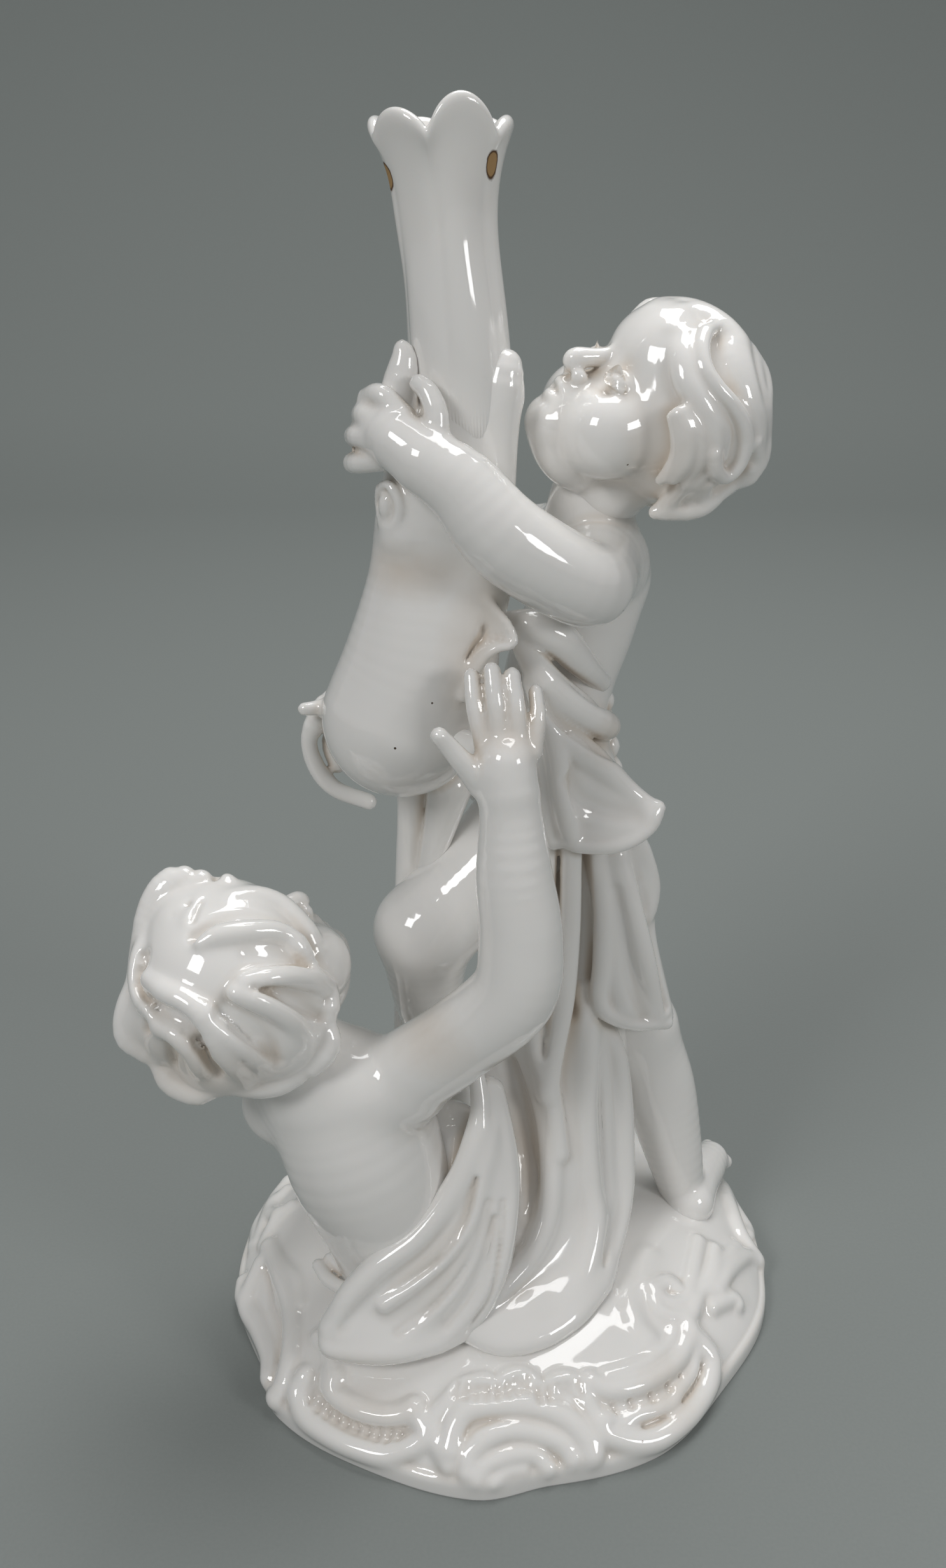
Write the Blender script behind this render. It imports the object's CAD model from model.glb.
import math
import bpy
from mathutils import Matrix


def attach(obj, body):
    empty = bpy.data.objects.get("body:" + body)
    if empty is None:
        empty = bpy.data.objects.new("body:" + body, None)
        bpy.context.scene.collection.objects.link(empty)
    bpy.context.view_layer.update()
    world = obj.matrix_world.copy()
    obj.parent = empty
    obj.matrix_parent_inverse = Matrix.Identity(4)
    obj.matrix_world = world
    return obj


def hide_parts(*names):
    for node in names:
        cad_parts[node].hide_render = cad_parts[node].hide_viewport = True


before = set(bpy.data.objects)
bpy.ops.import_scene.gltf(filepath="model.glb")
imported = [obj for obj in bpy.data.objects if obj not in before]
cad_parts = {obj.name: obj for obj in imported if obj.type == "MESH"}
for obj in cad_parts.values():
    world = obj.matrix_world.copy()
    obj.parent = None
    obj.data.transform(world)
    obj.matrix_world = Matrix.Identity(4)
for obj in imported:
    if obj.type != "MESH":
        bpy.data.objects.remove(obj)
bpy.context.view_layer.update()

from concurrent.futures import ThreadPoolExecutor

import bmesh
import bpy
import numpy as np
from mathutils import Matrix, Vector

MM = 0.001

# The porcelain and its clear glaze, white and very glossy. The glaze runs thin on the ridges and
# pools in the hollows, where it looks a little warm, and the kiln left a few tiny dark specks.
GLAZE_WHITE = (0.90, 0.885, 0.86, 1)
GLAZE_POOL = (0.66, 0.58, 0.49, 1)
SPECK = (0.10, 0.07, 0.05, 1)
STAIN = (0.60, 0.46, 0.32, 1)
STAIN_STRENGTH = 0.38
CHIP = (0.40, 0.25, 0.11, 1)
CHIP_RIM = (0.10, 0.05, 0.02, 1)
RIM_WIDTH = 1.25

porcelain = bpy.data.materials.new("glazed_porcelain_fine")
porcelain.use_nodes = True
shader = porcelain.node_tree.nodes["Principled BSDF"]
for socket, value in (("IOR", 1.5), ("Coat Roughness", 0.03), ("Subsurface Weight", 0.12),
                      ("Subsurface Radius", (1.0, 0.85, 0.7)), ("Subsurface Scale", 0.002)):
    shader.inputs[socket].default_value = value


def node(kind, values, links, result, material=porcelain, operation=None, colours=False):
    """An output of a new shader node, whose values are set and whose inputs are linked."""
    made = material.node_tree.nodes.new("ShaderNode" + kind)
    if operation:
        made.operation = operation
    if colours:
        made.data_type = "RGBA"
    for socket, value in values.items():
        made.inputs[socket].default_value = value
    for socket, output in links.items():
        material.node_tree.links.new(output, made.inputs[socket])
    return made.outputs[result]


def over(under, colour, mask):
    """A colour laid over what comes before it where the mask is 1."""
    return node("Mix", {"B": colour}, {"Factor": mask, "A": under}, "Result", colours=True)


def blots(spots, soft, ragged):
    """A mask, 1 inside ovals given as a middle and radii in millimetres, with ragged soft edges."""
    whole = None
    for middle, radii in spots:
        oval = node("Mapping", {"Location": [-m / r for m, r in zip(middle, radii)],
                                "Scale": [1 / (r * MM) for r in radii]}, {"Vector": place}, "Vector")
        reach = node("VectorMath", {}, {0: oval}, "Value", operation="LENGTH")
        wobble = node("Math", {1: ragged}, {0: fray, 2: reach}, 0, operation="MULTIPLY_ADD")
        inside = node("MapRange", {"From Min": 1 + ragged / 2 + soft, "From Max": 1 + ragged / 2 - soft},
                      {"Value": wobble}, "Result")
        whole = node("Math", {}, {0: whole, 1: inside}, 0, operation="MAXIMUM") if whole else inside
    return whole


place = node("TexCoord", {}, {}, "Object")
hollow = porcelain.node_tree.nodes.new("ShaderNodeAttribute")
hollow.attribute_name = "hollow"
cloud = node("TexNoise", {"Scale": 45, "Detail": 3}, {"Vector": place}, "Fac")
pooling = node("Math", {1: 0.25, 2: -0.12}, {0: cloud}, 0, operation="MULTIPLY_ADD")
pooled = node("Math", {}, {0: pooling, 1: hollow.outputs["Fac"]}, 0, operation="ADD")
shade = node("MapRange", {"From Min": 0.12, "From Max": 0.95, "To Max": 0.85}, {"Value": pooled}, "Result")
colour = node("Mix", {"A": GLAZE_WHITE, "B": GLAZE_POOL}, {"Factor": shade}, "Result", colours=True)

grit = node("TexVoronoi", {"Scale": 95}, {"Vector": place}, "Distance")
grit_size = node("Math", {1: 0.035}, {0: grit}, 0, operation="LESS_THAN")
grit_kind = node("SeparateColor", {}, {"Color": grit.node.outputs["Color"]}, "Red")
grit_pick = node("Math", {1: 0.9}, {0: grit_kind}, 0, operation="GREATER_THAN")
colour = over(colour, SPECK, node("Math", {}, {0: grit_size, 1: grit_pick}, 0, operation="MULTIPLY"))

fray = node("TexNoise", {"Scale": 260, "Detail": 4}, {"Vector": place}, "Fac")
stains = blots((((-6, -14, 252), (7, 8, 8)), ((-10, -16, 236), (7, 8, 12)),
                ((0, -36, 222), (9, 6, 6)), ((-28, -14, 262), (12, 9, 5)),
                ((-20, -46, 132), (9, 9, 7)), ((-48, -80, 24), (14, 9, 7)),
                ((56, -72, 20), (9, 9, 8)), ((6, -20, 62), (6, 9, 26)), ((30, 0, 208), (7, 9, 5)),
                ((42, -4, 292), (10, 12, 12)), ((-86, -55, 132), (14, 12, 10))), 0.9, 0.6)
colour = over(colour, STAIN, node("Math", {1: STAIN_STRENGTH}, {0: stains}, 0, operation="MULTIPLY"))
CHIPS = (((-5.2, -8.8, 363.8), (1.3, 2.2, 3.2)), ((-31, -2.6, 361.5), (1.6, 2.2, 3.4)))
chip = blots(CHIPS, 0.06, 0.5)
chip_rim = blots([(middle, [radius * RIM_WIDTH for radius in radii]) for middle, radii in CHIPS], 0.08, 0.5)
colour = over(over(colour, CHIP_RIM, chip_rim), CHIP, chip)
porcelain.node_tree.links.new(colour, shader.inputs["Base Color"])
for socket, glazed, bare in (("Roughness", 0.07, 0.8), ("Coat Weight", 0.6, 0.0)):
    amount = node("MapRange", {"To Min": glazed, "To Max": bare}, {"Value": chip_rim}, "Result")
    porcelain.node_tree.links.new(amount, shader.inputs[socket])

ripple = node("TexNoise", {"Scale": 120, "Detail": 2}, {"Vector": place}, "Fac")
orange_peel = node("Bump", {"Strength": 0.05, "Distance": 0.0006}, {"Height": ripple}, "Normal")
porcelain.node_tree.links.new(orange_peel, shader.inputs["Normal"])


# The foot and its mound, pressed in a mould with the shell, scrolls and leaves that run round it.
# Like every form here, it is built up as a modeller works: rolls and balls of clay whose joints
# are smoothed with a wet finger, then lines cut in with a tool. Lengths are in millimetres.
def pull_of(away, soft):
    """How strongly a form holds a spot, more inside it and less away from it."""
    return np.exp(np.clip(-away / soft, -40, 60))


class Clay:
    """Rolls and balls of clay that run softly into each other, and the marks cut into them."""
    LAYER_JOINT = 0.8
    LONGEST_SETTLING = 1.5
    WIPE = 0.5
    LAST_WIPE = 0.4
    HOLLOW_PROBE = 3.0

    def __init__(self, grain):
        self.grain = grain
        self.forms = []
        self.marks = []
        self.rough = bmesh.new()
        self.curve = bpy.data.curves.new("rolls", "CURVE")
        self.curve.dimensions = "3D"
        self.curve.bevel_depth = 1.0
        self.curve.bevel_resolution = 3
        self.curve.use_fill_caps = True

    def through(self, knots):
        """A smooth line through knots of x, y, z and radius."""
        knots = np.array(knots, float)
        ends = np.vstack([2 * knots[0] - knots[1], knots, 2 * knots[-1] - knots[-2]])
        line = [knots[0]]
        for before, start, end, after in zip(ends, ends[1:], ends[2:], ends[3:]):
            length = np.linalg.norm((end - start)[:3])
            steps = int(np.clip(math.ceil(length / (0.7 * np.clip(start[3], 1.5, 6))), 2, 7))
            for step in range(1, steps + 1):
                t = step / steps
                line.append(0.5 * (2 * start + (end - before) * t
                                   + (2 * before - 5 * start + 4 * end - after) * t * t
                                   + (3 * start - before - 3 * end + after) * t ** 3))
        line = np.array(line)
        line[:, 3] = np.maximum(line[:, 3], 0.4)
        return line

    def roll(self, *knots, soft=1.5):
        """A round-ended roll."""
        line = self.through(knots)
        spline = self.curve.splines.new("POLY")
        spline.points.add(len(line) - 1)
        for point, (x, y, z, radius) in zip(spline.points, line):
            point.co = (x, y, z, 1)
            point.radius = radius
        for x, y, z, radius in (line[0], line[-1]):
            bmesh.ops.create_icosphere(self.rough, subdivisions=2, radius=radius,
                                       matrix=Matrix.Translation((x, y, z)))
        self.forms.append(("roll", line, soft))

    def rolls(self, *strokes, soft=1.5):
        for stroke in strokes:
            self.roll(*stroke, soft=soft)

    def ball(self, centre, radii, turn=None, soft=1.5):
        """A pressed ball with its radii along the columns of turn."""
        turn = turn or Matrix.Identity(3)
        bmesh.ops.create_icosphere(self.rough, subdivisions=3, radius=1.0,
                                   matrix=Matrix.Translation(centre) @ turn.to_4x4()
                                   @ Matrix.Diagonal((*radii, 1)))
        self.forms.append(("ball", (np.array(centre), np.array(radii), np.array(turn)), soft))

    def cut(self, *knots, width=1.0):
        """A line cut in with a tool: its last number is the depth, or a raised bead's height."""
        knots = np.array(knots, float)
        line = self.through(np.column_stack([knots[:, :3], np.ones(len(knots))]))
        depth = np.interp(np.linspace(0, 1, len(line)), np.linspace(0, 1, len(knots)), knots[:, 3])
        self.marks.append((line, depth, width))

    def sheet(self, first, last, count, radius, soft=1.6):
        """A rolled-out sheet between two lines of x, y and z, as touching rolls."""
        for share in np.linspace(0, 1, count):
            line = np.array(first) * (1 - share) + np.array(last) * share
            self.roll(*np.column_stack([line, np.full(len(line), radius)]), soft=soft)

    def to_line(self, spots, line):
        """Distance of spots from a tapering line, the way out, and the share along it."""
        best = np.full(len(spots), np.inf)
        out = np.zeros((len(spots), 3))
        along = np.zeros(len(spots))
        for step, (a, b) in enumerate(zip(line, line[1:])):
            run = b[:3] - a[:3]
            t = np.clip((spots - a[:3]) @ run / max(run @ run, 1e-9), 0, 1)
            off = spots - a[:3] - t[:, None] * run
            gap = np.sqrt(np.einsum("ij,ij->i", off, off)) + 1e-9
            away = gap - (a[3] + t * (b[3] - a[3]))
            nearer = away < best
            best[nearer] = away[nearer]
            out[nearer] = off[nearer] / gap[nearer, None]
            along[nearer] = (step + t[nearer]) / (len(line) - 1)
        return best, out, along

    def to_roll(self, spots, line, margin):
        """to_line() in short lengths, each only for the spots within its margin."""
        best = np.full(len(spots), np.inf)
        out = np.zeros((len(spots), 3))
        for start in range(0, len(line) - 1, 5):
            length = line[start:start + 6]
            lowest, highest = self.reach("roll", length, margin)
            near = np.flatnonzero(((spots > lowest) & (spots < highest)).all(1))
            if len(near):
                away, way, _ = self.to_line(spots[near], length)
                nearer = away < best[near]
                best[near[nearer]] = away[nearer]
                out[near[nearer]] = way[nearer]
        return best, out

    def to_ball(self, spots, ball):
        centre, radii, turn = ball
        local = (spots - centre) @ turn
        stretch = np.linalg.norm(local / radii, axis=1) + 1e-9
        slope = local / radii ** 2
        steep = np.linalg.norm(slope, axis=1) + 1e-9
        return stretch * (stretch - 1) / steep, (slope / steep[:, None]) @ turn.T

    def reach(self, kind, form, margin):
        if kind == "roll":
            wide = form[:, 3:] + margin
            return (form[:, :3] - wide).min(0), (form[:, :3] + wide).max(0)
        centre, radii, turn = form
        wide = np.abs(turn) @ radii + margin
        return centre - wide, centre + wide

    def joined(self, spots):
        """How far each spot is outside the forms, and the way out."""
        layers = {}
        for kind, form, soft in self.forms:
            margin = soft * 6 + 1.5
            lowest, highest = self.reach(kind, form, margin)
            near = np.flatnonzero(((spots > lowest) & (spots < highest)).all(1))
            if not len(near):
                continue
            if kind == "roll":
                away, out = self.to_roll(spots[near], form, margin)
                met = np.isfinite(away)
                near, away, out = near[met], away[met], out[met]
            else:
                away, out = self.to_ball(spots[near], form)
            total, pull = layers.setdefault(soft, (np.zeros(len(spots)), np.zeros((len(spots), 3))))
            weight = pull_of(away, soft)
            total[near] += weight
            pull[near] += weight[:, None] * out
        total = np.zeros(len(spots))
        pull = np.zeros((len(spots), 3))
        for soft, (weight, out) in layers.items():
            held = weight > 1e-12
            away = -soft * np.log(weight[held])
            share = pull_of(away, self.LAYER_JOINT)
            total[held] += share
            pull[held] += share[:, None] * out[held] / weight[held, None]
        total = np.maximum(total, 1e-16)
        away = -self.LAYER_JOINT * np.log(total)
        pull /= total[:, None]
        return away, pull

    def surface(self, spots):
        """joined() with the marks cut in."""
        away, out = self.joined(spots)
        for line, depth, width in self.marks:
            margin = width * 2.2
            lowest, highest = line[:, :3].min(0) - margin, line[:, :3].max(0) + margin
            near = np.flatnonzero(((spots > lowest) & (spots < highest)).all(1))
            if not len(near):
                continue
            gap, _, along = self.to_line(spots[near], line)
            how_deep = np.interp(along, np.linspace(0, 1, len(depth)), depth)
            away[near] += how_deep * np.exp(-((gap + 1) / width) ** 2)
        return away, out

    def measure(self, spots):
        """surface() on all cores."""
        parts = np.array_split(np.arange(len(spots)), 12)
        with ThreadPoolExecutor(4) as pool:
            found = list(pool.map(lambda part: self.surface(spots[part]), parts))
        return np.concatenate([f[0] for f in found]), np.vstack([f[1] for f in found])

    def mean(self, spots, one, two, neighbours):
        """The mean of each spot's neighbours, along the edges from one to two."""
        total = np.column_stack([np.bincount(one, spots[two, axis], len(spots))
                                 + np.bincount(two, spots[one, axis], len(spots)) for axis in range(3)])
        return total / neighbours[:, None]

    def fire(self, name, rounds=3):
        """The finished piece: all forms joined, smoothed, settled on the clay's surface, glazed."""
        curve = bpy.data.objects.new(name, self.curve)
        bpy.context.collection.objects.link(curve)
        bpy.context.view_layer.update()
        tubes = bpy.data.meshes.new_from_object(
            curve.evaluated_get(bpy.context.evaluated_depsgraph_get()))
        self.rough.from_mesh(tubes)
        bpy.data.objects.remove(curve, do_unlink=True)
        mesh = bpy.data.meshes.new(name)
        self.rough.to_mesh(mesh)
        self.rough.free()
        piece = bpy.data.objects.new(name, mesh)
        bpy.context.collection.objects.link(piece)
        remesh = piece.modifiers.new("join", "REMESH")
        remesh.mode = "VOXEL"
        remesh.voxel_size = self.grain
        bpy.context.view_layer.update()
        piece.data = bpy.data.meshes.new_from_object(
            piece.evaluated_get(bpy.context.evaluated_depsgraph_get()))
        piece.modifiers.clear()
        piece.data.name = name
        count = len(piece.data.vertices)
        spots = np.empty(count * 3)
        piece.data.vertices.foreach_get("co", spots)
        spots = spots.reshape(-1, 3)
        ends = np.empty(len(piece.data.edges) * 2, int)
        piece.data.edges.foreach_get("vertices", ends)
        one, two = ends.reshape(-1, 2).T
        neighbours = np.bincount(one, minlength=count) + np.bincount(two, minlength=count)
        for turn in range(rounds + 1):
            if turn < rounds:
                for smoothing in range(2):
                    spots += self.WIPE * (self.mean(spots, one, two, neighbours) - spots)
            for settling in range(2 if turn else 1):
                away, out = self.measure(spots)
                size = np.maximum(np.einsum("ij,ij->i", out, out), 0.3)
                settled = np.clip(away, -self.LONGEST_SETTLING, self.LONGEST_SETTLING) / size
                spots -= settled[:, None] * out
        spots += self.LAST_WIPE * (self.mean(spots, one, two, neighbours) - spots)
        unit = out / np.sqrt(np.maximum(np.einsum("ij,ij->i", out, out), 1e-6))[:, None]
        clear = self.measure(spots + unit * self.HOLLOW_PROBE)[0]
        depth = np.clip(1 - clear / self.HOLLOW_PROBE, 0, 1)
        piece.data.vertices.foreach_set("co", (spots * MM).ravel())
        piece.data.attributes.new("hollow", "FLOAT", "POINT").data.foreach_set("value", depth)
        piece.data.shade_smooth()
        piece.data.update()
        piece.data.materials.append(porcelain)
        return self.place(piece)

    def place(self, piece):
        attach(piece, "root")
        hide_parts("figural_candlestick")
        return piece


FOOT = 93.0
FOOT_EDGE = 6.0
MOUND = 30.0
MOUND_SWELL = 4.8
EDGE_ROUND = 1.2
MOUND_JOINT = 0.9
GLAZE = 0.4
SCROLL = 2.6
FOOT_WAVES = ((-174, 0.0), (-153, -2.0), (-138, 3.5), (-115, 1.0), (-96, 2.0), (-81, -2.5),
              (-60, -1.0), (-38, -4.0), (-10, 0.0), (25, 1.0), (60, -2.0), (95, 2.0), (140, -2.0))


def foot_edge(angle):
    """Radius of the foot at an angle in degrees."""
    waves = [(a + turn, w) for turn in (-360, 0, 360) for a, w in FOOT_WAVES]
    for (a, w), (b, v) in zip(waves, waves[1:]):
        if a <= angle <= b:
            share = (1 - math.cos(math.pi * (angle - a) / (b - a))) / 2
            return FOOT + w + (v - w) * share
    return FOOT


edge_angles = np.arange(-180, 181, 2)
edge_radii = np.array([foot_edge(a) for a in edge_angles])


def mound_top(inset):
    """Height of the mound at a distance in from the foot's edge."""
    share = np.clip((inset - 2) / (FOOT - 2), 0, 1)
    return FOOT_EDGE + (MOUND - FOOT_EDGE) * (1 - (1 - share) ** MOUND_SWELL)


class Mound(Clay):
    """Clay that also has the mound under it."""

    def joined(self, spots):
        away, out = super().joined(spots)
        radius = np.hypot(spots[:, 0], spots[:, 1]) + 1e-9
        edge = np.interp(np.degrees(np.arctan2(spots[:, 1], spots[:, 0])), edge_angles, edge_radii)
        inset = edge - radius
        slope = (mound_top(inset + 0.5) - mound_top(inset - 0.5))
        above = (spots[:, 2] - mound_top(inset)) / np.sqrt(1 + slope ** 2)
        outward = spots[:, :2] / radius[:, None]
        rising = np.column_stack([outward * slope[:, None], np.ones(len(spots))])
        rising /= np.linalg.norm(rising, axis=1)[:, None]
        beside = -inset
        level = np.column_stack([outward, np.zeros(len(spots))])
        wall = np.clip((beside - above) / EDGE_ROUND, -30, 30)
        share = 1 / (1 + np.exp(-wall))
        ground = above + EDGE_ROUND * np.log1p(np.exp(wall)) - GLAZE
        way = rising * (1 - share[:, None]) + level * share[:, None]
        mix = np.clip((ground - away) / MOUND_JOINT, -40, 40)
        keep = 1 / (1 + np.exp(-mix))
        level = np.log1p(np.exp(-np.abs(mix))) + np.maximum(mix, 0) - ground / MOUND_JOINT
        level = -MOUND_JOINT * level
        level = np.where(away > 20, ground, level)
        keep = np.where(away > 20, 0, keep)
        return level, out * keep[:, None] + way * (1 - keep[:, None])


foot = Mound(grain=0.9)
rings = []
for inset, height in ((0, -5), (0, 5), *((inset, mound_top(inset)) for inset in (3, 8, 15, 25, 40, 60))):
    ring = []
    for angle in range(0, 360, 4):
        radius = foot_edge(angle) - inset
        ring.append(foot.rough.verts.new((radius * math.cos(math.radians(angle)),
                                          radius * math.sin(math.radians(angle)), height)))
    rings.append(ring)
for lower, upper in zip(rings, rings[1:]):
    for step in range(len(lower)):
        after = (step + 1) % len(lower)
        foot.rough.faces.new((lower[step], lower[after], upper[after], upper[step]))
foot.rough.faces.new(list(reversed(rings[0])))
foot.rough.faces.new(rings[-1])


def on_mound(angle, inset, sink=0.0):
    radius = foot_edge(angle) - inset
    return (radius * math.cos(math.radians(angle)), radius * math.sin(math.radians(angle)),
            float(mound_top(inset)) - sink)


def ridge(thick, *points):
    """A raised ridge on the mound through points of angle and inset."""
    foot.roll(*[(*on_mound(angle, inset, 0.2), thick * SCROLL) for angle, inset in points], soft=0.8)


def furrow(depth, width, *points):
    foot.cut(*[(*on_mound(angle, inset), depth) for angle, inset in points], width=width)


# Shell in front
ridge(1.1, (-101, 4), (-104, 8), (-105.2, 12), (-103, 16.5), (-100.5, 20.5), (-98.3, 22), (-95, 23),
      (-92.3, 21), (-89.5, 23), (-85.5, 22), (-82.9, 19), (-80.9, 17), (-77.9, 19), (-74.5, 19),
      (-72.4, 16.5), (-71.3, 12.5), (-70.8, 7), (-72.5, 3.5))
ridge(1.5, (-101, 7), (-100.5, 12), (-97.7, 16), (-90, 16.5), (-82.4, 13.5), (-77, 10.5), (-74, 6.5),
      (-73.1, 3))
furrow(0.8, 1.5, (-99, 5), (-98.7, 9), (-97.4, 12), (-92.6, 13.3), (-86.7, 12.3), (-80.8, 10),
       (-76.8, 7), (-75.1, 3.5))
ridge(1.3, (-97.3, 3.5), (-97.1, 6.5), (-94.1, 9.8), (-89.5, 10.6), (-84, 8.6), (-79, 6), (-77, 3))
furrow(0.6, 1.3, (-95.5, 4), (-92.1, 7.5), (-87.9, 8), (-82.8, 6), (-79.8, 3))
ridge(1.1, (-95.5, 2.5), (-93.3, 5), (-88.9, 5.8), (-84.8, 4.6), (-82, 2))
ridge(0.8, (-92.5, 1.5), (-90, 3), (-87, 2.8))
for rib in range(13):
    angle = -101.5 + rib * 2.4
    top = 20.6 if angle < -84 else 17.2
    foot.cut((*on_mound(angle, top - 4.2, -3.5), 1.6), (*on_mound(angle, top - 1, -3), 1.6), width=1.1)
# Left scrolls
ridge(1.3, (-136, 9), (-135.5, 5), (-131, 2.5), (-124.5, 1.5), (-118.5, 1.5), (-113.5, 2.5), (-109, 5),
      (-106.5, 8), (-107.5, 10.5), (-109.8, 12.5))
ridge(1.4, (-129.5, 12.5), (-128, 9.5), (-122.5, 8.5), (-117, 9), (-113, 10.5), (-110, 13))
furrow(0.9, 2.0, (-131, 6.5), (-124, 5), (-117, 5.2), (-111, 7.5))
for rib in range(10):
    angle = -132 + rib * 2.3
    furrow(1.2, 1.0, (angle, 4), (angle, 7.6))
ridge(1.0, (-139, 18), (-135, 17.5), (-132, 15), (-131.4, 12.5), (-130, 10))
ridge(1.5, (-175, 12), (-164, 14), (-152.5, 12.5), (-143, 10), (-139.5, 5), (-139.3, 1.5))
ridge(1.4, (-171.5, 9), (-165.2, 2.5), (-157.4, 3), (-149, 3), (-144.3, 2))
furrow(1.4, 1.2, (-169, 11), (-160, 8.5), (-151, 7.5), (-145, 5.5))
ridge(1.2, (-171.6, 2.5), (-168, 1.5), (-165.5, 2.5))
ridge(1.0, (162, 9), (168.5, 6), (179.7, 7))
ridge(1.0, (172.4, 17), (176, 12), (182, 9.5))
ridge(0.8, (-171.7, 13.5), (-165, 16), (-158.6, 17.5), (-151.6, 15.5))
# Right scroll
ridge(1.3, (-69.3, 17.5), (-66.2, 15), (-61, 13.5), (-54.8, 12.5), (-46.8, 11.5), (-40.5, 12.5),
      (-37.3, 14.5))
ridge(0.8, (-65, 18), (-59.3, 17.2), (-52.5, 16.2), (-45.4, 15.7), (-41.6, 16.7))
ridge(1.5, (-38.2, 13), (-37.1, 8.5), (-37.6, 5), (-42.2, 2.5), (-48.8, 1.5), (-54.7, 1.5), (-60, 2),
      (-65, 3.5), (-69.2, 6), (-69.5, 8))
ridge(0.9, (-68, 8.5), (-65.1, 7), (-61.6, 7.4), (-56.7, 6.4), (-52.7, 5.8), (-49.6, 6.6), (-44, 7),
      (-40.5, 9))
furrow(1.3, 1.4, (-61, 4.6), (-56, 4.2))
furrow(1.2, 1.3, (-51, 4.2), (-46, 4.4), (-41, 6))
for rib in (-66, -62, -57, -52, -48, -44):
    furrow(1.3, 1.0, (rib, 8), (rib, 10.8))
# Curl and leaves
ridge(1.1, (-10.6, 24.5), (-18.8, 24), (-26.9, 21.5), (-32.5, 20), (-36.4, 22.5), (-36.8, 26),
      (-33.7, 27.5), (-30.5, 26), (-30.8, 22.8))
ridge(1.1, (-10.3, 19), (-18.7, 18.5), (-28.9, 17.5), (-34, 16.5), (-39, 19.5), (-40.5, 24),
      (-36.8, 29))
ridge(1.2, (-22, 14.5), (-15.1, 14), (-5.5, 8.5), (-2.5, 4))
ridge(1.0, (-24, 16), (-17, 17.5), (-9, 14), (-4, 11))
ridge(1.1, (-27, 13), (-20.8, 10), (-20.5, 8))
ridge(0.9, (-30, 17), (-36, 15), (-38.5, 13))
furrow(0.9, 0.9, (-19, 12.3), (-11.7, 10.5), (-5.1, 6))
ridge(1.3, (30.4, 2), (23, 3), (13, 7.5), (2.7, 8), (-2, 3))
ridge(1.0, (21.7, 3), (13.8, 4), (9, 2.5), (5.6, 3.5))
foot.roll(*[(*on_mound(angle, inset, 4.6), 6.0) for angle, inset in
            ((-24.5, 37.5), (-36, 33.5), (-45.6, 32), (-50, 27), (-50, 22.5))], soft=1.5)
for start in range(36, 160, 24):
    ridge(1.3, (start, 4), (start + 7, 5), (start + 14, 8), (start + 18, 13))
    ridge(1.0, (start + 8, 3), (start + 15, 3), (start + 23, 5))

foot_piece = foot.fire("foot_and_mound")
base = bmesh.new()
base.from_mesh(foot_piece.data)
bmesh.ops.bisect_plane(base, geom=base.verts[:] + base.edges[:] + base.faces[:], plane_co=(0, 0, 0),
                       plane_no=(0, 0, 1), clear_inner=True)
bmesh.ops.holes_fill(base, edges=[e for e in base.edges if e.is_boundary])
base.to_mesh(foot_piece.data)
base.free()

# The dolphin, head up, with an open mouth, a ruffled fin and a tail that curls behind its belly.
# It was cast in two halves, and its belly stands on a thin clay prop.
POST = 4.8

fish = Clay(grain=0.95)
fish.rolls(
    ((-16, 0, 298, 13.5), (-18, 2, 277, 18.5), (-22.5, 0, 255, 17.5), (-25, -2, 232, 22.3),
     (-31, -3, 214.5, 23.5)),
    ((-8, -6, 262, 10), (-10, -10, 250, 9), (-13, -12, 238, 8)), soft=3.0)
fish.rolls(
    ((-31.5, -6, 296, 5.5), (-29.5, -8, 309, 5), (-28, -8, 317, 3.6), (-28.5, -8, 320, 2.2)),
    ((-4.5, -5, 276, 6), (-4, -6, 296, 6.2), (-2.5, -6, 310, 6), (-1.5, -5, 315, 4.6)),
    ((-8, -9, 256, 3), (-6, -12, 250, 2.4), (-9, -14, 243, 2.4), (-12, -16, 235, 2.4)),
    ((-40, 6, 220, 9), (-51, 2, 216, 4), (-56, 1, 216, 2.4), (-60, 0, 216, 2)),
    ((-44, 10, 214, 8), (-54, 10, 212, 5), (-60, 8, 204, 2.6), (-58.5, 8, 194, 2.6),
     (-53, 8, 186.5, 2.6), (-42.5, 8, 182, 2.6)),
    ((-46, 12, 210, 7), (-53, 12, 201, 3.6), (-52, 12, 193, 2.6)),
    ((0, -5, 307, 2.6), (-4, 8, 304, 2.8), (-14, 14.5, 302.5, 2.8), (-24, 10.5, 304, 2.8),
     (-29.5, -2, 308, 2.6)),
    ((-17, 2, 190, 7), (-20.5, 4, 174, 5), (-24, 6, 158, 3.5)),
    ((-28.7, 8, 198, POST * 1.3), (-29, 10, 180, POST), (-30.5, 11, 148, POST),
     (-30.5, 12, 90, POST * 1.4), (-30, 13, 22, POST * 2.6)), soft=1.2)
fish.sheet(((-6, -17.5, 254.5), (-0.5, -20.5, 249), (1.2, -22.5, 244), (-3.8, -23, 242.4),
            (-7.4, -22.5, 238.7), (-10.7, -22.5, 232.8), (-12.5, -22.5, 228)),
           ((-10, -14, 252), (-7.6, -16, 248), (-5.6, -18, 244), (-7, -19.5, 242), (-10.2, -19, 238.8),
            (-13.4, -19.5, 233), (-14.5, -20, 229)), 5, 1.15, soft=0.4)
fish.cut((-9, -16, 252, 1.4), (-7.4, -18, 246, 2), (-10.5, -19.5, 241, 2),
         (-14.4, -20, 235, 1.6), width=1.3)
fish.ball((-27, -5, 270), (9, 10.5, 8.5), soft=2.5)
fish.ball((-33.3, -9.6, 279), (2.4, 2.4, 3.6), soft=0.5)
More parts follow.
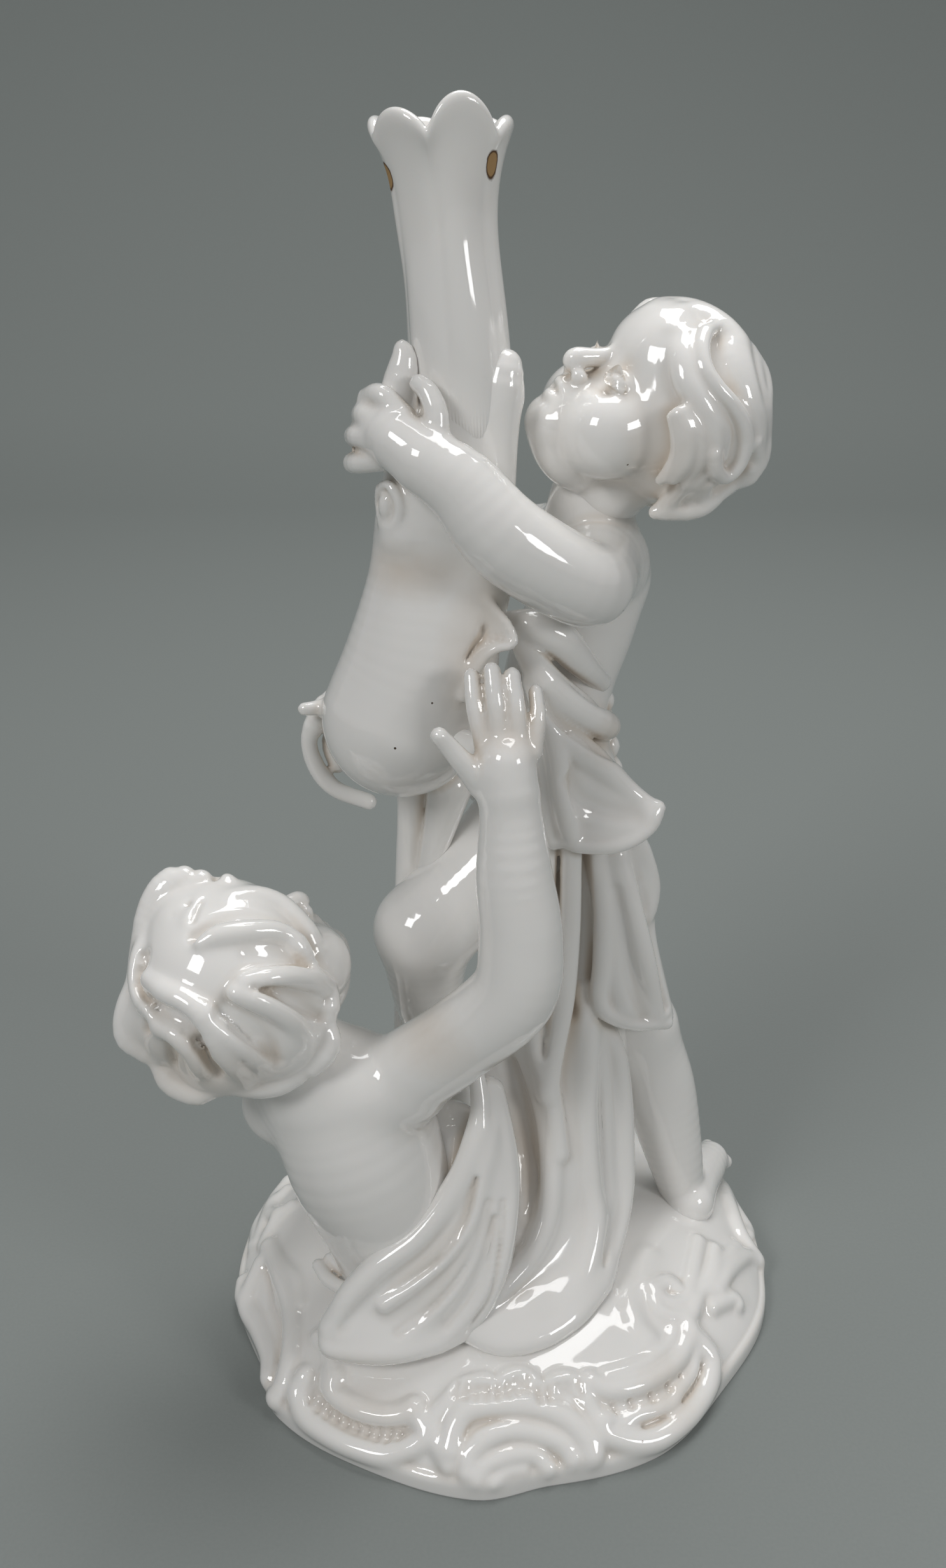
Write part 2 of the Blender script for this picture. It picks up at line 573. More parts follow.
fish.rolls(
    ((-36, -5, 279, 1.1), (-35.6, -7.4, 283, 1.1), (-33, -10.4, 285, 1.2), (-30.4, -12.4, 282, 1.2),
     (-29.8, -13, 278, 1.2), (-31.4, -12, 274, 1.2), (-34.6, -8.4, 274, 1.1), (-36, -5, 279, 1.1)),
     soft=0.6)
fish.fire("dolphin")

# The candle tube, modelled as a slim trunk that leans a little, with soft lobes that run up into
# six thick petals, the front right one tallest. Its bore is glazed as well.
tube = bmesh.new()
TUBE_RADIUS = 12.2
BORE = 10.5
FLARE = 18.4
LIP = 3.4
LEAN = 0.075
AROUND = 96


def petal(angle):
    """How far a petal has risen between its notches, and its height over or under the tube's top."""
    off = math.remainder(angle - math.radians(-70), 2 * math.pi)
    lobe = abs(math.cos(3 * off)) ** 0.5
    tall = 5.0 if abs(off) < math.pi / 6 else 1.5 if -math.pi / 2 < off < 0 else 0.0
    return lobe, 5.2 * (lobe - 0.65) + tall * lobe


rings = []
for radius, height, share, lobes in (
        (1.12, 290, 0, 0.3), (1.13, 312, 0, 0.4), (1.12, 323, 0, 0.6), (1.06, 335, 0, 0.8),
        (1.0, 346, 0, 0.9), (1.02, 354, 0, 1.0), (1.12, 361, 0.15, 1.0), (1.3, 367, 0.5, 0.8),
        (1.48, 370.2, 0.9, 0.5), (FLARE / TUBE_RADIUS, 372.0, 1, 0.3),
        ((FLARE - LIP * 0.3) / TUBE_RADIUS, 373.6, 1, 0.2), ((FLARE - LIP) / TUBE_RADIUS, 373.2, 1, 0),
        ((BORE + 2.6) / TUBE_RADIUS, 369, 0.7, 0), ((BORE + 0.6) / TUBE_RADIUS, 363, 0.2, 0),
        (BORE / TUBE_RADIUS, 358, 0, 0), (BORE / TUBE_RADIUS, 339, 0, 0)):
    ring = []
    for step in range(AROUND):
        angle = 2 * math.pi * step / AROUND
        lobe, rise = petal(angle)
        wide = radius * TUBE_RADIUS + lobes * (0.9 * lobe - 0.6)
        z = height + share * rise
        leaf = math.remainder(angle - math.radians(188), 2 * math.pi) / 0.3
        if lobes:
            wide += 2.6 * math.exp(-leaf ** 2 - ((z - 350) / 4.5) ** 2)
            wide += 0.35 * lobes * math.sin(2 * angle + z / 14)
            wide += 0.3 * min(lobes * 2, 1) * math.sin(5 * angle + z / 16)
        ring.append(tube.verts.new(((-14.2 - LEAN * (z - 323) + wide * math.cos(angle)) * MM,
                                    wide * math.sin(angle) * MM, z * MM)))
    rings.append(ring)
for lower, upper in zip(rings, rings[1:]):
    for step in range(AROUND):
        after = (step + 1) % AROUND
        tube.faces.new((lower[step], lower[after], upper[after], upper[step]))
tube.faces.new(list(reversed(rings[0])))
tube.faces.new(rings[-1])
tube_mesh = bpy.data.meshes.new("candle_tube")
tube.to_mesh(tube_mesh)
tube.free()
tube_piece = bpy.data.objects.new("candle_tube", tube_mesh)
bpy.context.collection.objects.link(tube_piece)
tube_mesh.shade_smooth()
tube_mesh.materials.append(porcelain)
rounding = tube_piece.modifiers.new("rounding", "SUBSURF")
rounding.levels = 2
rounding.render_levels = 2
fish.place(tube_piece)

# The standing putto's body: legs, trunk, neck and both arms, with the near arm hugging the
# dolphin. Cast in parts and luted together, with the joints wiped smooth.
FINGER = 2.8

standing = Clay(grain=1.05)
standing.rolls(
    ((9.5, 14, 171.5, 19), (-10.5, 6, 153, 17), (-25.5, -1, 142, 14.5)),
    ((-25.5, -1, 140, 14), (-25, 5, 116, 12), (-21.5, 14, 88, 9.5), (-18, 22, 50, 8), (-17, 24, 34, 8)),
    ((22, 20, 166, 18), (32, 17, 132, 15.5), (45, 15, 96, 12.5)),
    ((47, 15, 93, 12), (54, 15, 71, 13), (60.5, 12, 46, 10.5), (64, 11, 31, 8.5)),
    ((16, 18, 171, 20), (14, 18, 190, 18.5), (14.5, 17, 208, 17), (17, 18, 222, 17),
     (21.5, 18, 236, 17), (26, 19, 250, 16)),
    ((26, 19, 255, 14), (24, 16, 270, 13), (28, 14, 284, 13)), soft=3.0)
standing.rolls(
    ((-17, 24, 30, 8), (-24, 16, 29, 7), (-32, 6, 28, 6)),
    ((67, 7, 25, 9), (70.5, 17, 25, 8.5), (76, 28, 23, 7.5), (79, 34, 22, 6.5)),
    ((28, 12, 258, 12), (23, 20, 262, 13.5), (17, 30, 258, 12)),
    ((27, 10, 257, 13), (25, 0, 259, 12.5), (20, -16, 259, 12), (-0.5, -24, 273, 11.8),
     (-12.5, -23, 286.5, 10), (-22, -21, 293, 8.6)),
    ((20, 30, 256, 12.5), (4, 38, 258, 11), (-10, 32, 270, 9.5), (-20, 22, 278, 8)), soft=2.2)
standing.rolls(
    ((-22, -20, 293, 8.4), (-29, -17, 297.5, 8), (-33, -13, 300, 6.5)),
    ((-28, -15, 304, FINGER), (-34, -13, 309, FINGER), (-38, -6, 307, FINGER)),
    ((-31, -15, 300, FINGER), (-38, -12, 303.5, FINGER), (-40, -5, 302.5, FINGER)),
    ((-34, -15, 297, FINGER), (-40, -12, 298, FINGER), (-42, -6, 297, FINGER)),
    ((-34, -14, 292, FINGER), (-40, -12, 291, FINGER), (-42.5, -7, 290, FINGER)),
    ((-20.5, -19, 296, 3.8), (-19.5, -19, 304.5, 3.3), (-21.5, -17, 310, 2.8), (-24, -15, 312, 2.5)),
    ((-20, 22, 278, 7), (-28, 17, 280, 6), (-33, 12, 282, FINGER)), soft=0.8)
for toe in range(5):
    spread = toe - 2
    standing.roll((79 + spread * 1.2, 36 - spread * 1.6, 21, 2.6),
                  (83 + spread * 1.4, 42 - spread * 2.4, 18, 2.4), soft=0.7)
    standing.roll((-34 + spread * 3.2, 3 - spread * 0.6, 26, 2.6),
                  (-38 + spread * 3.4, -3 - spread * 0.8, 25, 2.4), soft=0.7)
standing.fire("standing_putto")

# The standing putto's cloth: rolled clay sheet laid round the waist with a flared flap, a panel
# down the side of the leg, and the long fall of folds that ends on the mound.
HEM = 2.2

cloth = Clay(grain=0.93)
cloth.rolls(
    ((12, 8, 220, 8), (22, 6, 204, 8), (28, 4, 192, 7)),
    ((8, 2, 212, 9), (14, 1, 194, 8), (22, 0, 185, 6)),
    ((24, 10, 182, 11), (20, 24, 182, 13), (14, 28, 188, 13)),
    ((30, 5, 162, 9), (34, 5, 144.5, 9), (40, 5, 125.5, 8), (45, 3, 114, 6)),
    ((22, 6, 170, 10), (23, 5, 145, 10), (23, 2, 122, 10)),
    ((18, 8, 166, 11), (17, 6, 140, 11), (17, 2, 114, 12), (20, -2, 84, 12), (18, -14, 52, 13),
     (8, -30, 30, 11)),
    ((28, 6, 142, 9), (31, 5, 112, 9), (32, 1, 82, 10), (30, -6, 50, 12), (22, -24, 28, 11)),
    ((4, 8, 160, 8), (2, 2, 124, 9), (0, -3, 98, 9), (1, -10, 76, 9), (3, -20, 54, 10)), soft=2.0)
# Waist: broad folds with sharp creases fan out from the belly to the hip
cloth.rolls(
    ((0.5, -4, 244, 3.5), (8, -5.5, 243, 5.5), (14, -5, 240, 5.5), (19, -2, 234, 5), (24, 2, 227.5, 4),
     (28, 8, 222, 3.5)),
    ((3, -6, 240, 3), (9, -9.5, 231, 4.5), (14, -8, 224, 5.5), (21.5, -5, 217, 5.5), (29, 0, 211, 4.6),
     (31, 9, 207, 4)),
    ((7, -9, 228, 3), (13, -11, 215, 4.2), (19.5, -9.5, 208, 4.8), (28, -7.5, 201, 4.2),
     (35.5, -6.5, 193.5, 3.2), (43, -7, 187.5, 2.4)),
    ((10, -11, 222, 2.6), (13, -13, 212, 3.2), (14.8, -14, 203.5, 3.3), (16.2, -14.5, 193.5, 3.2),
     (18, -14.5, 184.5, 3), (19.5, -14, 180, 2.6)),
    ((8, -8, 217, 3), (10.5, -11, 205, 3), (12, -11.5, 192.5, 3), (13.5, -11.5, 182, 3),
     (14.5, -11, 178, 2.6)), soft=0.6)
cloth.sheet(((15, -9.5, 209), (22, -8.5, 202), (29.5, -6.5, 195), (37, -6, 188.5), (42, -7, 186)),
            ((18, -12, 187), (21, -12, 182), (27, -12, 180.5), (35.5, -10.5, 181),
             (41.5, -8.5, 184)), 5, 2.6, soft=1.2)
cloth.rolls(
    ((45.5, -8, 187.5, HEM), (43, -10.5, 182.5, HEM), (37.5, -13, 179, HEM), (30.5, -14.5, 177.5, HEM),
     (22, -15, 178, HEM), (18.5, -14, 179, HEM), (14.5, -11.5, 178, HEM)), soft=0.6)
cloth.cut((8.5, -13, 238, 1.5), (15.5, -11, 232, 2.5), (25.5, -5, 221, 2.5),
          (30, 2, 216, 1.5), width=1.3)
cloth.cut((9, -14, 225, 2), (13.5, -14, 219, 2.6), (20, -12, 212, 2.6), (28.5, -9, 205.5, 2),
          (34, -5, 202, 1.5), width=1.3)
cloth.cut((17, -15, 200, 1.5), (22, -14, 192, 1.5), (31, -12, 188, 1.2), (39, -11, 186, 1), width=2.6)
# Back of the hips
cloth.sheet(((29, 15, 221), (26, 31, 215), (13, 35, 211), (0, 30, 211), (-5, 20, 213)),
            ((38, 14, 160), (34, 34, 160), (20, 41, 164), (4, 37, 170), (-8, 26, 177)), 9, 3.2)
cloth.rolls(
    ((27, 16, 219, 2.4), (27, 32, 212, 3.2), (13, 36, 208, 3.2), (-2, 31, 209, 2.6)),
    ((30, 16, 205, 2.6), (30, 34.5, 197, 3.6), (14, 39, 193, 3.4), (-4, 32, 195, 2.6)),
    ((33, 16, 190, 2.6), (33, 36, 179, 3.8), (17, 41.5, 176, 3.8), (-3, 35, 182, 2.8)),
    ((36, 16, 174, 2.6), (35, 36, 167, 3.4), (22, 41.5, 168, 3.4), (6, 39, 174, 2.6)),
    ((38.5, 14, 160, HEM), (39, 22, 157, HEM), (35, 35, 158, HEM), (20, 42, 162, HEM),
     (4, 38.5, 168, HEM), (-9, 28, 176, HEM), (-8, 22, 196, HEM), (-5, 19, 212, HEM)), soft=1.0)
# Panel down the side of the leg
cloth.sheet(((30, -4, 170), (33, -6, 150), (34, -8, 130), (37, -8.5, 118)),
            ((41, 3, 168), (44, 4, 148), (45.5, 2, 135), (51, -1, 111)), 5, 3.4)
cloth.rolls(
    ((27, -6, 172, 3), (30, -8, 154.5, 3.2), (30.5, -10, 136, 3.2), (29.8, -11, 124, 3),
     (32.5, -11.5, 117, 2.6), (41, -9.5, 111.5, HEM), (53, -3, 107.5, HEM)),
    ((34, -5, 170, 3.4), (38.5, -6.5, 154.5, 4), (44, -6.5, 134, 4), (50, -3.5, 112, 3)),
    ((43, 6, 160, 3), (45, 7, 147.5, 3), (45.5, 6, 138, 3), (49.5, 3, 121, 3), (53, 0, 108.5, 2.6)),
    ((38, 0, 176, 3.6), (42.5, 2, 164, 4.4), (44.8, 3, 154, 4.6), (44, 1, 146.5, 3.6),
     (40.5, -2, 148, 2.6)), soft=0.6)
cloth.cut((34, -10, 160, 1.5), (37, -11, 144, 2), (41, -10.5, 124, 1.6), (45, -9, 114, 1), width=1.6)
cloth.cut((43, -6, 158, 1), (47.5, -5, 132, 2), (52, -4, 114, 1.2), width=1.5)
# Long fall to the mound
left = ((5, -6, 110), (11, -11, 92.5), (15, -18, 76), (14, -29, 55), (8, -38, 43), (-2, -47.5, 36),
        (-9, -56, 31))
middle = ((26, -9, 112), (26, -12, 96), (26, -14, 82), (28, -20, 59), (29.5, -26, 48), (25.5, -37, 37),
          (17, -47.5, 31))
right = ((31, -4, 108), (36, -5, 96), (39, -7, 80), (39, -12, 62), (38, -18, 48), (33, -31, 35),
         (23, -46.5, 30))
cloth.sheet(left, middle, 6, 3.2)
cloth.sheet(middle, right, 3, 3.2)
cloth.sheet(((-9, 0, 108), (-8, -8, 88), (-5, -16, 72), (-2, -24, 58), (2, -33, 46)),
            left[:4] + ((9, -36, 45),), 4, 3.2)
cloth.rolls(
    ((20, -9, 178, 3.2), (20, -11.5, 147.5, 3.4), (18.5, -14, 124.5, 3.6), (15.5, -16.5, 105.5, 3.6),
     (13.5, -20, 92, 3.2)),
    ((12.5, -7, 178, 3), (11.5, -10, 150, 3.2), (9, -12.5, 128, 3.4), (10, -14.5, 108, 3.4),
     (15, -19.5, 89.5, 3.2), (18, -25, 72.5, 2.6)),
    ((4, -3, 150, 3), (2, -5, 128, 3.4), (5, -10, 108, 3.6), (11, -14.5, 92.5, 3.8),
     (15, -21.5, 76, 3.8), (14, -32.5, 55, 3.8), (8, -41.5, 44.5, 3.6), (-2, -51, 38.5, 3.4),
     (-10.5, -58.5, 33, 2.6)),
    ((-5, -2, 118, 3), (-6, -7, 102, 3.2), (-4, -12, 87.5, 3.2), (-0.5, -18.5, 73, 3.4),
     (4, -26, 60, 3.2), (7, -33, 51, 2.8)),
    ((25, -8, 124, 3), (26.5, -12, 108, 3.4), (26.5, -17, 84, 3.6), (28, -23.5, 60, 3.8),
     (29.5, -29.5, 48, 3.8), (26, -39.5, 38, 3.4), (18, -49, 32.5, 2.8)),
    ((29, -5, 112, 2.8), (37, -6.5, 98, 3), (40.5, -10, 70, 3), (40.5, -18, 47.5, 3),
     (34, -34, 34, 2.8), (24, -50, 30.5, 2.6), (14, -58, 29, HEM)),
    ((-12, -60, 32, HEM), (-4, -63, 29, HEM), (4.5, -62.5, 28, HEM), (13, -59, 28, HEM),
     (21, -53, 29, HEM), (28, -44, 30.5, HEM), (34, -35, 33, HEM)), soft=1.1)
cloth.sheet(((-9, -54.5, 32), (0, -54, 33), (8, -51, 34), (16, -46, 33), (24, -41, 34), (31, -33, 35)),
            ((-11, -59, 31), (-3, -62, 29), (6, -61.5, 28.5), (14, -57.5, 28.5), (22, -51, 29),
             (31, -40, 31)), 4, 3.0)
cloth.cut((24, -8, 172, 1), (25, -10, 145, 1.2), (25, -12, 122, 1), width=1.8)
cloth.cut((16, -12, 172, 2), (15.5, -14, 145, 2.4), (13.5, -16, 122, 2.4),
          (12, -19, 106, 1.5), width=1.2)
cloth.cut((2, -12, 98, 1.5), (7, -18.5, 80, 2.2), (9.5, -28, 62, 2.2), (5, -39, 48, 1.2), width=2.2)
cloth.cut((33.5, -13, 100, 1.5), (37.5, -16, 74, 2), (38, -24, 52, 1.6), (31, -40, 35, 1), width=1.2)
cloth.fire("standing_drapery")

# The seated putto's body, seen from behind: trunk, far arm and legs, and the near arm raised
# to the dolphin with its hand open.
seated = Clay(grain=1.05)
seated.rolls(
    ((-51, -32, 100, 21), (-44, -33, 80, 25), (-34, -28, 49.5, 25), (-26, -22, 24, 27)),
    ((-70, -26, 94, 12), (-58, -33, 106, 14), (-42, -37, 108, 14), (-30, -38, 110, 13)),
    ((-56, -34, 110, 13), (-66, -36, 126, 13.5)),
    ((-36, -16, 36, 19), (-52, 8, 42, 16), (-60, 24, 48, 13)),
    ((-22, -10, 34, 19), (-24, 20, 42, 15), (-28, 38, 46, 12.5)), soft=3.0)
seated.rolls(
    ((-70, -26, 93, 12.5), (-72, -8, 74, 10.5), (-66, 8, 64, 9.5), (-52, 20, 68, 8)),
    ((-60, 24, 48, 12.5), (-60, 36, 32, 10.5), (-59, 42, 22, 9)),
    ((-28, 38, 46, 12), (-32, 50, 32, 10), (-34, 56, 20, 8)),
    ((-59, 42, 22, 8), (-60, 54, 20, 6.5), (-59, 60, 18, 5)),
    ((-34, 56, 20, 7.5), (-36, 66, 18, 6), (-36, 72, 16, 5)),
    ((-30, -38, 112.5, 13.5), (-13, -43, 129.5, 12.5), (1.5, -47, 147, 12.5), (3.5, -46, 164.5, 12),
     (1.5, -44, 183, 10.8), (0.5, -42, 199, 8.8), (0, -41, 205, 8.4)), soft=2.2)
seated.rolls(
    ((-52, 20, 67, 7.5), (-46, 24, 68, 6), (-38, 26, 66, 5)),
    ((-0.5, -41, 209, 8.2), (-1, -40, 213, 8.4), (-1, -40, 216, 7.6)),
    ((-7, -38, 219, 2.4), (-9.6, -36, 230, 2.3), (-10.5, -32, 238, 2.1)),
    ((-2.6, -39, 219, 2.5), (-4, -37, 231.5, 2.4), (-5, -33, 240, 2.2)),
    ((2.4, -39, 219, 2.5), (1.8, -37, 230, 2.4), (0.6, -33, 238.5, 2.2)),
    ((6.6, -38, 218.5, 2.3), (7.6, -36, 227, 2.2), (7, -32, 233.5, 2.0)),
    ((-8, -40, 210, 4), (-12.5, -42, 216.5, 3.2), (-16.5, -43, 222, 2.7), (-19, -44, 225.5, 2.4)),
    ((-1, -34, 214, 6), (-7, -26, 213, 5), (-16, -16, 213, 4)), soft=0.9)
seated.fire("seated_putto")

# The seated putto's cloth, drawn round the hips into rolls that sweep to a hem on the mound. It
# was laid on as soft clay sheet, and the figure sits on its folds.
wrap = Clay(grain=0.85)
wrap.rolls(
    ((-18, -25, 80, 11), (-18, -33, 64, 12), (-24, -40, 44, 13), (-34, -46, 32, 13)),
    ((-8, -22, 72, 10), (-10, -32, 52, 12), (-16, -44, 36, 12)), soft=2.0)
upper = ((-8, -37, 92), (-13, -43, 80), (-24, -49, 66), (-37, -53.5, 56), (-47, -57, 46),
         (-53, -60.5, 36))
lower = ((-3, -41, 75), (-6, -47.5, 64), (-11, -52.5, 53), (-18, -57, 43), (-26, -60.5, 35),
         (-36, -63, 31.5))
wrap.sheet(upper, lower, 7, 3.2, soft=1.2)
wrap.sheet(((-6, -28, 99), (-4, -35, 87)) + lower[:5],
           ((-4, -26, 97), (-1, -32, 87), (1, -37, 77), (1, -43, 68), (0, -48, 56), (-3, -52, 46),
            (-10, -56, 35)),
           4, 3.2, soft=1.2)
wrap.sheet(((-52, -58.5, 37), (-44, -60, 37), (-35, -61, 35), (-25, -60, 35), (-15, -57, 36)),
           ((-54, -64.5, 30.5), (-46, -66.5, 30), (-37, -67, 30), (-26, -65, 30.5),
            (-14, -60, 32)), 4, 3.0, soft=1.2)
wrap.rolls(
    ((-9, -29, 108, 2.4), (-8, -36, 96, 3), (-11, -42, 85.5, 3.4), (-17, -47.5, 74, 3.6),
     (-27, -53, 63, 3.8), (-38.5, -56.5, 55, 4), (-48, -59.5, 45.5, 3.8), (-54, -62.5, 35.5, 2.8)),
    ((-6, -29, 101, 2.2), (-5, -36, 91, 2.8), (-7, -43, 82, 3), (-10, -49, 70, 3.2),
     (-17.5, -54.5, 60, 3.4), (-28, -58, 50.5, 3.4), (-37, -61, 44, 2.8)),
    ((-4.5, -40, 80, 2.6), (-6, -48, 68, 3), (-11, -53.5, 57, 3.4), (-18, -58, 46, 3.8),
     (-26.5, -61, 37, 3.6), (-34, -64.5, 31, 2.8)),
    ((-2.5, -42, 76, 2.2), (-2.5, -49.5, 63, 2.6), (-4.5, -55, 51, 3), (-9, -58.5, 42.5, 3.2),
     (-15, -61.5, 36, 3), (-21, -64, 31.5, 2.4)),
    ((-4, -26, 98, 2), (-1.5, -33, 88, 2.2), (0.5, -39, 79, 2.2), (1.2, -45.5, 69, 2.4),
     (0, -51, 59, 2.6), (-2.5, -55, 49, 2.6), (-7, -58, 39, 2.6), (-12, -60, 33.5, 2.4)),
    ((-55, -62, 34, HEM), (-53.5, -66, 30, HEM), (-38.5, -68, 30, HEM), (-26, -66, 30.5, HEM),
     (-17, -62.5, 31, HEM), (-11.5, -58, 33, HEM)),
    ((-61, -33, 33, 2), (-57, -39, 32.5, HEM), (-51, -43, 32.5, HEM), (-44, -44, 33, HEM)),
    ((-57, -31, 34, 2), (-52, -36, 34, HEM), (-45, -39, 34.5, HEM)), soft=0.9)
wrap.cut((-9, -46, 80, 1.5), (-13, -53, 68, 2), (-21, -58, 58.5, 2.4), (-31, -61, 52, 2.4),
         (-42, -63.5, 46, 2.2), (-50, -66, 38, 1.2), width=1.3)
wrap.cut((-5, -50, 73, 1.5), (-8.5, -56, 62, 2.2), (-15, -60, 52, 2.4), (-24, -63, 43, 2),
         (-33, -66, 37, 1.4), width=1.3)
wrap.cut((-3.8, -50, 68, 1.2), (-6.5, -57, 56, 2), (-11, -61, 46, 2), (-18, -64.5, 38, 1.4), width=1.2)
wrap.cut((-0.8, -48, 72, 1.2), (-1.5, -54, 60, 1.5), (-4.5, -59, 46, 1.2), (-10, -62, 38, 1), width=0.9)
wrap.fire("seated_drapery")


# The putti's heads: a child's round face and thick wavy locks, pressed in moulds and luted on at
# the neck. Forms are in skull radii, the face along the head's own forward, side and up, and the
# locks as they are seen from the front and a little above, laid on the skull.
SKULL = 27.0
LOOK_DOWN = math.radians(24)


class Head:
    """A head in its own clay, with its centre and the directions of its face and crown."""
    BROW = 0.12

    def __init__(self, clay, centre, forward, up):
        self.clay = clay
        self.centre = Vector(centre)
        front = Vector(forward).normalized()
        side = Vector(up).cross(front).normalized()
        self.turn = Matrix((front, side, front.cross(side))).transposed()

    def at(self, forward, side, up):
        return tuple(self.centre + self.turn @ (Vector((forward, side, up)) * SKULL))

    def ball(self, spot, radii, soft=1.5):
        self.clay.ball(self.at(*spot), [r * SKULL for r in radii], self.turn, soft)

    def roll(self, *knots, soft=1.0):
        self.clay.roll(*[(*self.at(f, s, u), r * SKULL) for f, s, u, r in knots], soft=soft)

    def cut(self, *knots, width):
        self.clay.cut(*[(*self.at(f, s, u), d * SKULL) for f, s, u, d in knots], width=width * SKULL)

    def face(self):
        self.ball((-0.02, 0, 0), (0.9, 0.82, 0.88), 2.0)
        self.ball((0.45, 0, 0.34), (0.53, 0.6, 0.53), 2.0)
        self.ball((0.8, 0, -0.56), (0.24, 0.27, 0.24), 2.0)
        self.ball((0.82, 0, -0.9), (0.27, 0.29, 0.26), 2.0)
        self.ball((0.42, 0, -1.04), (0.42, 0.4, 0.28), 2.0)
        self.roll((-0.1, 0, -0.4, 0.5), (-0.15, 0, -0.9, 0.46), soft=2.5)
        self.roll((0.8, 0, 0.1, 0.06), (0.98, 0, -0.13, 0.085), (1.13, 0, -0.28, 0.105),
                  (1.14, 0, -0.33, 0.105), soft=1.0)
        self.roll((0.96, -0.17, -0.64, 0.03), (1.04, -0.06, -0.56, 0.055), (1.04, 0.06, -0.56, 0.055),
                  (0.96, 0.17, -0.64, 0.03), soft=0.7)
        self.roll((0.96, -0.12, -0.7, 0.03), (1.03, 0, -0.72, 0.07), (0.96, 0.12, -0.7, 0.03), soft=0.7)
        self.cut((0.95, -0.2, -0.65, 0.01), (1.07, 0, -0.64, 0.03),
                 (0.95, 0.2, -0.65, 0.01), width=0.035)
        self.cut((0.98, -0.14, -0.82, 0.02), (1.03, 0, -0.8, 0.03),
                 (0.98, 0.14, -0.82, 0.02), width=0.06)
        for side in (-1, 1):
            self.ball((0.5, side * 0.4, -0.56), (0.44, 0.42, 0.45), 2.0)
            self.ball((1.03, side * 0.12, -0.39), (0.085, 0.075, 0.075), 0.6)
            self.cut((1.1, side * 0.07, -0.46, 0.04), (1.14, side * 0.06, -0.45, 0.04), width=0.04)
            self.cut((0.98, side * 0.2, -0.04, 0.03), (0.9, side * 0.38, 0.0, 0.04),
                     (0.76, side * 0.54, -0.08, 0.03), width=0.12)
            self.cut((0.93, side * 0.24, -0.24, 0.05), (0.86, side * 0.42, -0.28, 0.04), width=0.09)
            self.ball((0.77, side * 0.37, -0.13), (0.15, 0.15, 0.12), 0.4)
            self.roll((0.92, side * 0.24, -0.15, 0.02), (0.93, side * 0.37, -0.02, 0.035),
                      (0.77, side * 0.54, -0.14, 0.02), soft=0.4)
            self.roll((0.92, side * 0.24, -0.17, 0.015), (0.92, side * 0.38, -0.24, 0.03),
                      (0.77, side * 0.54, -0.16, 0.015), soft=0.4)

    def lock(self, thick, *points, soft=1.2, lift=0.0):
        """A raised lock through points to the right of and above the head's middle."""
        knots = []
        for step, (right, above) in enumerate(points):
            near = math.sqrt(max((0.97 + lift) ** 2 - right ** 2 - above ** 2, 0.02))
            fade = 0.75 if step in (0, len(points) - 1) else 1.0
            knots.append((*self.seen(right, near, above), thick * fade * SKULL))
        self.clay.roll(*knots, soft=soft)

    def comb(self, count, thick, first, last, soft=1.2, lift=0.0):
        """Locks side by side, from the first line to the last."""
        for step in range(count):
            share = step / (count - 1)
            line = [(x + (u - x) * share, z + (v - z) * share) for (x, z), (u, v) in zip(first, last)]
            self.lock(thick, *line, soft=soft, lift=lift + 0.03 * (step % 2))

    def part(self, depth, width, *points):
        """A valley between locks."""
        knots = []
        for right, above in points:
            near = math.sqrt(max(1.02 ** 2 - right ** 2 - above ** 2, 0.02))
            knots.append((*self.seen(right, near, above), depth * SKULL))
        self.clay.cut(*knots, width=width * SKULL)

    def seen(self, right, near, above):
        """A spot to the right of, nearer than and above the head's middle, as it is seen."""
        return (self.centre.x + right * SKULL,
                self.centre.y + (above * math.sin(LOOK_DOWN) - near * math.cos(LOOK_DOWN)) * SKULL,
                self.centre.z + (above * math.cos(LOOK_DOWN) + near * math.sin(LOOK_DOWN)) * SKULL)

    def mass(self, right, near, above, radius, soft=1.8):
        self.clay.ball(self.seen(right, near, above), [radius * SKULL] * 3, soft=soft)

    def far_locks(self):
        """Rows of wavy locks round the crown, on the side away from the front."""
        pole = Vector((-0.5, 0.0, 0.87)).normalized()
        across = pole.orthogonal().normalized()
        along = pole.cross(across)
        for row, (start, end, locks) in enumerate(((6, 42, 9), (34, 74, 15), (66, 106, 19))):
            for lock in range(locks):
                turn = 2 * math.pi * (lock + 0.5 * (row % 2)) / locks
                knots = []
                for step in range(5):
                    share = step / 4
                    polar = math.radians(start + (end - start) * share)
                    swing = turn + (0.34 - 0.1 * row) * math.sin(share * 2.2 * math.pi + lock)
                    ring = across * math.cos(swing) + along * math.sin(swing)
                    spot = (pole * math.cos(polar) + ring * math.sin(polar)) * (0.93 + 0.06 * share)
                    knots.append((*spot, 0.13 * (0.8 + 0.5 * math.sin(math.pi * share))))
                tip = Vector(knots[-1][:3]).normalized()
                if tip.x > self.BROW + 0.7 * max(tip.z, 0) or tip.z < -0.85:
                    continue
                middle = (self.turn @ Vector(knots[2][:3])).normalized()
                if middle.y * math.cos(LOOK_DOWN) - middle.z * math.sin(LOOK_DOWN) < 0.1:
                    continue
                self.roll(*knots, soft=1.0)


